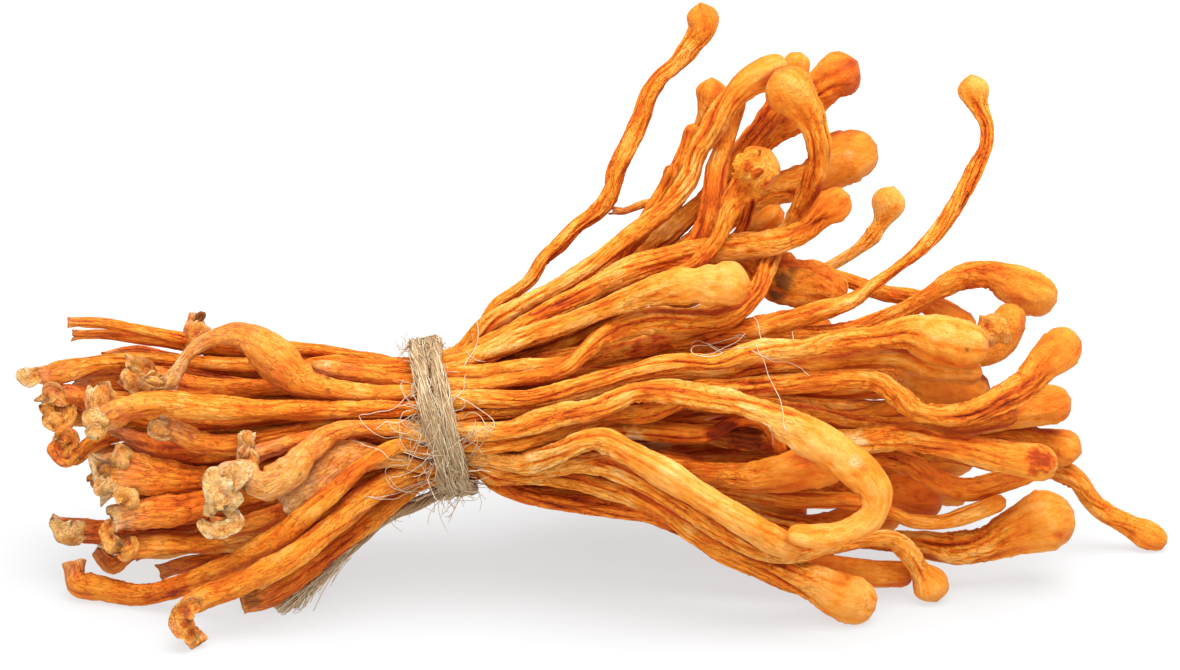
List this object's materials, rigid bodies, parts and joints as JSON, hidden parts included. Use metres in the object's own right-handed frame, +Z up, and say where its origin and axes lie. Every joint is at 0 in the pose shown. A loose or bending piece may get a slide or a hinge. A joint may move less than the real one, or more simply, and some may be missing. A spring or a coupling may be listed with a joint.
{
  "type": "cordyceps mushroom bunch",
  "caption": "Bunch of dried orange club-headed fungus stalks, tied round the middle with jute twine and lying on its side.",
  "frame": {"origin": "centre of the bounding box's footprint, on the surface that the bunch lies on", "axes": "+X along the bunch from the cut bases to the club heads, -Y towards the picture's eye, +Z up"},
  "size_m": [0.1166, 0.051, 0.0551],
  "materials": {
    "dried_skin": "dry wrinkled skin, matt to slightly waxy, yellow-orange on the ridges and red-brown in the folds",
    "jute_twine": "rough undyed jute fibre"
  },
  "bodies": {
    "root": {"stalk_back_crook": "dried_skin", "stalk_back_curl": "dried_skin", "stalk_back_heel": "dried_skin", "stalk_back_long": "dried_skin", "stalk_back_low": "dried_skin", "stalk_back_middle": "dried_skin", "stalk_back_prop": "dried_skin", "stalk_back_upper": "dried_skin", "stalk_crumpled": "dried_skin", "stalk_dipper": "dried_skin", "stalk_drop": "dried_skin", "stalk_far_back": "dried_skin", "stalk_far_reach": "dried_skin", "stalk_folded_head": "dried_skin", "stalk_foot": "dried_skin", "stalk_fork": "dried_skin", "stalk_fork_arm": "dried_skin", "stalk_front_club": "dried_skin", "stalk_high_end": "dried_skin", "stalk_high_loop": "dried_skin", "stalk_high_side": "dried_skin", "stalk_high_small": "dried_skin", "stalk_horned": "dried_skin", "stalk_inner_brown": "dried_skin", "stalk_inner_dark": "dried_skin", "stalk_inner_deep": "dried_skin", "stalk_inner_fold": "dried_skin", "stalk_inner_pale": "dried_skin", "stalk_inner_thin": "dried_skin", "stalk_keel": "dried_skin", "stalk_keel_back": "dried_skin", "stalk_knee": "dried_skin", "stalk_long_elbow": "dried_skin", "stalk_long_lower": "dried_skin", "stalk_long_upper": "dried_skin", "stalk_middle_fold": "dried_skin", "stalk_pale_rear": "dried_skin", "stalk_rear_bud": "dried_skin", "stalk_rear_knot": "dried_skin", "stalk_rear_round": "dried_skin", "stalk_reddish": "dried_skin", "stalk_right_low": "dried_skin", "stalk_right_mid": "dried_skin", "stalk_rough_end": "dried_skin", "stalk_speckled": "dried_skin", "stalk_speckled_low": "dried_skin", "stalk_strap_loop": "dried_skin", "stalk_stub": "dried_skin", "stalk_swan_neck": "dried_skin", "stalk_top_bend": "dried_skin", "stalk_torn_edge": "dried_skin", "stalk_twin_club": "dried_skin", "stalk_twin_upper": "dried_skin", "stalk_under_elbow": "dried_skin", "stalk_under_twin": "dried_skin", "twine": "jute_twine"}
  },
  "joints": []
}
